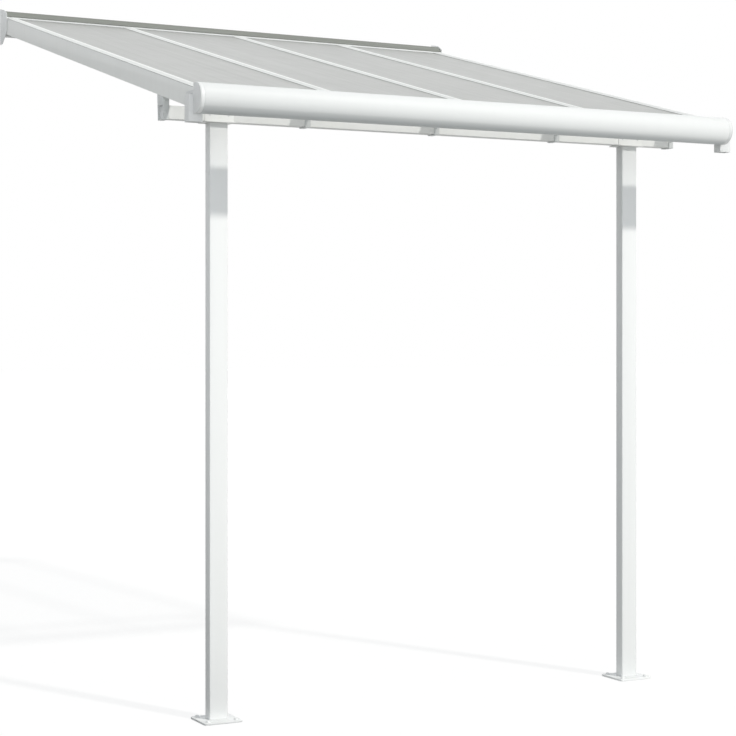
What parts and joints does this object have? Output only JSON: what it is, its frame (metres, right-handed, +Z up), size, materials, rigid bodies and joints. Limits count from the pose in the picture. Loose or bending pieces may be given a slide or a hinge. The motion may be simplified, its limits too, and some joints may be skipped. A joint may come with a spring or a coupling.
{
  "type": "lean-to patio cover",
  "caption": "Lean-to patio cover: sloping translucent sheets on rafters between a wall rail and a round-nosed gutter, on a cross beam and posts with foot plates.",
  "frame": {"origin": "middle of the wall rail's back face, where the cover is fixed to the house wall", "axes": "+X along the wall rail and gutter, +Y out of the rail's back towards the house wall, so the roof falls towards -Y, and +Z up"},
  "size_m": [2.426, 2.5158, 3.0078],
  "materials": {
    "frame_white": "white powder coat, satin, with a very fine orange-peel",
    "gutter_white": "white powder coat on a smooth extrusion, satin gloss",
    "bar_white": "white powder coat, satin",
    "cap_white": "moulded white plastic, fine grain",
    "roof_sheet": "clear-grey twin-wall sheet, frosted by its flutes, with a soft sheen",
    "seal_grey": "dark grey rubber strip, matt",
    "bracket_grey": "grey moulded fittings, fine grain"
  },
  "bodies": {
    "root": {"wall_rail": "frame_white", "wall_seal": "seal_grey", "wall_rail_cap_left": "frame_white", "wall_rail_cap_right": "frame_white", "side_rafter_left": "frame_white", "rafter_1": "frame_white", "rafter_2": "frame_white", "rafter_3": "frame_white", "side_rafter_right": "frame_white", "glazing_bar_1": "bar_white", "glazing_bar_2": "bar_white", "glazing_bar_3": "bar_white", "glazing_bar_4": "bar_white", "glazing_bar_5": "bar_white", "roof_panel_1": "roof_sheet", "roof_panel_2": "roof_sheet", "roof_panel_3": "roof_sheet", "roof_panel_4": "roof_sheet", "rafter_shoe_1": "bracket_grey", "rafter_shoe_2": "bracket_grey", "rafter_shoe_3": "bracket_grey", "rafter_shoe_4": "bracket_grey", "rafter_shoe_5": "bracket_grey", "gutter": "gutter_white", "gutter_cap_left": "cap_white", "gutter_cap_right": "cap_white", "gutter_outlet_left": "cap_white", "gutter_outlet_right": "cap_white", "post_beam": "frame_white", "beam_cap_left": "frame_white", "beam_cap_right": "frame_white", "beam_saddle_1": "bracket_grey", "beam_saddle_2": "bracket_grey", "beam_saddle_3": "bracket_grey", "beam_saddle_4": "bracket_grey", "beam_saddle_5": "bracket_grey", "post_head_left": "frame_white", "post_head_right": "frame_white", "post_left": "frame_white", "post_right": "frame_white", "foot_plate_left": "frame_white", "foot_plate_right": "frame_white"}
  },
  "joints": []
}
